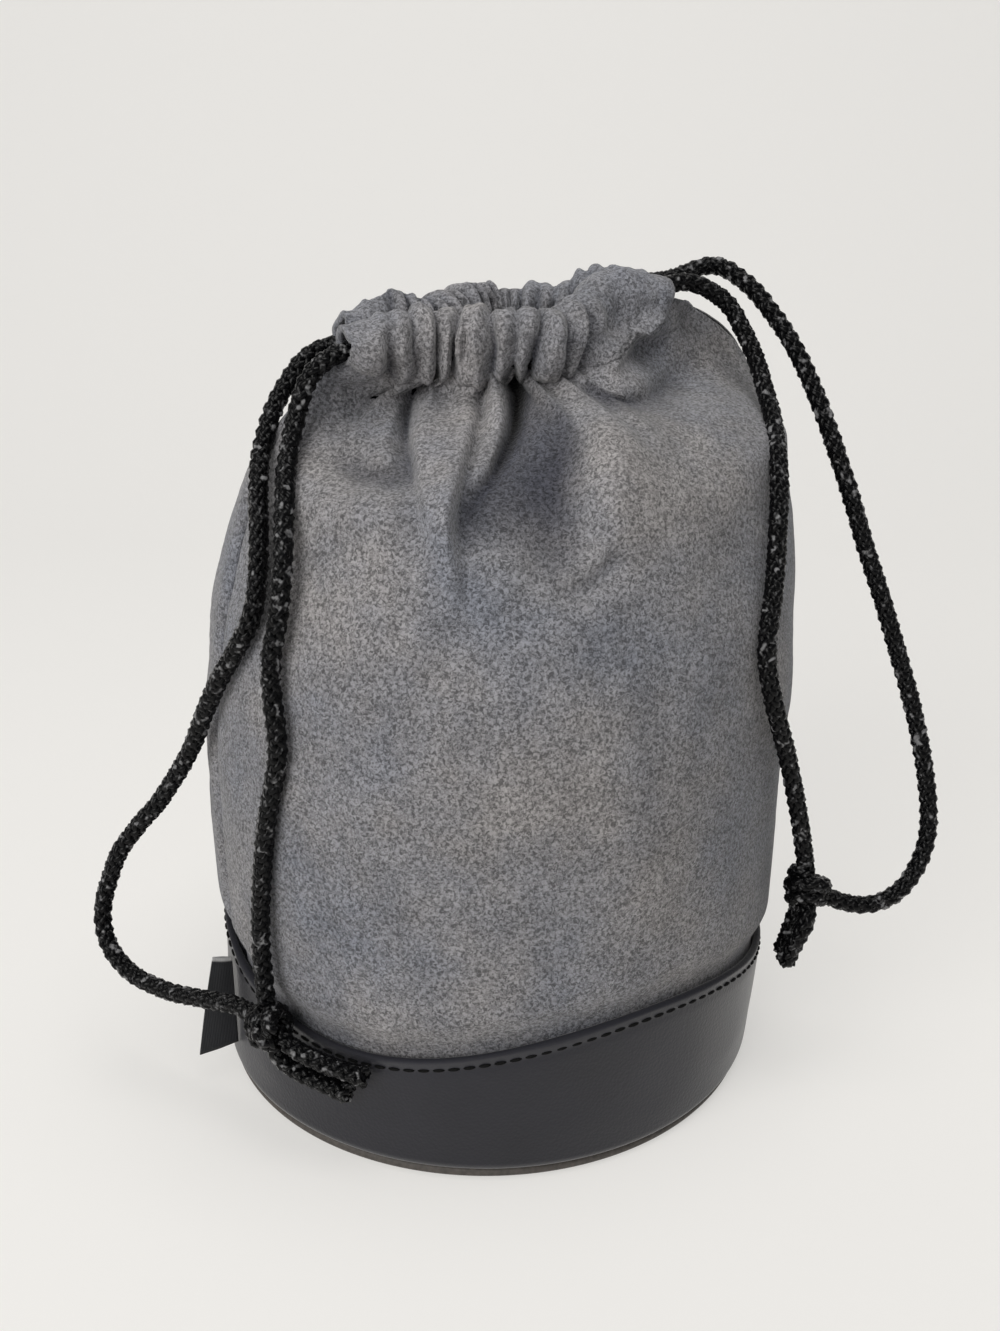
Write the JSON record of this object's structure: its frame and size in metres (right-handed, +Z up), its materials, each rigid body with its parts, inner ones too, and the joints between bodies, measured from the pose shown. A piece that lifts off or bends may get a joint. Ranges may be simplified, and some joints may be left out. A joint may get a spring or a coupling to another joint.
{
  "type": "drawstring lens pouch",
  "caption": "Soft round-based drawstring pouch for a camera lens, suede body on a padded leatherette base, gathered casing and knotted braided cords.",
  "frame": {"origin": "centre of the round base, on the surface that the pouch stands on", "axes": "+Z up, the side seams on the X axis with the tag on -X, and the front panel facing -Y"},
  "size_m": [0.1703, 0.1245, 0.1731],
  "materials": {
    "suede": "napped grey suede",
    "leatherette": "satin charcoal leatherette, fine grain",
    "foam": "closed-cell foam",
    "lining_cloth": "brushed lining",
    "braid": "black polypropylene braid, slight gloss",
    "ribbon": "woven ribbon, pale edges"
  },
  "bodies": {
    "pouch": {"base_panel": "leatherette", "base_band": "leatherette", "base_pad": "foam", "base_lining": "lining_cloth", "front_panel": "suede", "rear_panel": "suede", "front_casing": "suede", "rear_casing": "suede", "left_cord_run": "braid", "right_cord_run": "braid"},
    "tag": {"side_tag": "ribbon"},
    "left_cord": {"left_front_lead": "braid", "left_rear_lead": "braid"},
    "left_loop": {"left_front_strand": "braid", "left_rear_strand": "braid", "left_knot": "braid", "left_upper_tail": "braid", "left_lower_tail": "braid"},
    "right_cord": {"right_front_lead": "braid", "right_rear_lead": "braid"},
    "right_loop": {"right_front_strand": "braid", "right_rear_strand": "braid", "right_knot": "braid", "right_upper_tail": "braid", "right_lower_tail": "braid"}
  },
  "joints": [
    {"name": "left_cord_pull", "type": "slide", "parent": "pouch", "child": "left_cord", "axis": [-1, 0, 0], "range_m": [0, 0.012]},
    {"name": "left_loop_swing", "type": "hinge", "parent": "left_cord", "child": "left_loop", "pos_m": [-0.037, 0, 0.1561], "axis": [0, 1, 0], "range_deg": [0, 100]},
    {"name": "right_cord_pull", "type": "slide", "parent": "pouch", "child": "right_cord", "axis": [1, 0, 0], "range_m": [0, 0.012]},
    {"name": "right_loop_swing", "type": "hinge", "parent": "right_cord", "child": "right_loop", "pos_m": [0.051, 0, 0.1679], "axis": [0, -1, 0], "range_deg": [0, 70]},
    {"name": "tag_flex", "type": "hinge", "parent": "pouch", "child": "tag", "pos_m": [-0.06125, 0, 0.01925], "axis": [0, 0, -1], "range_deg": [-45, 75]}
  ]
}
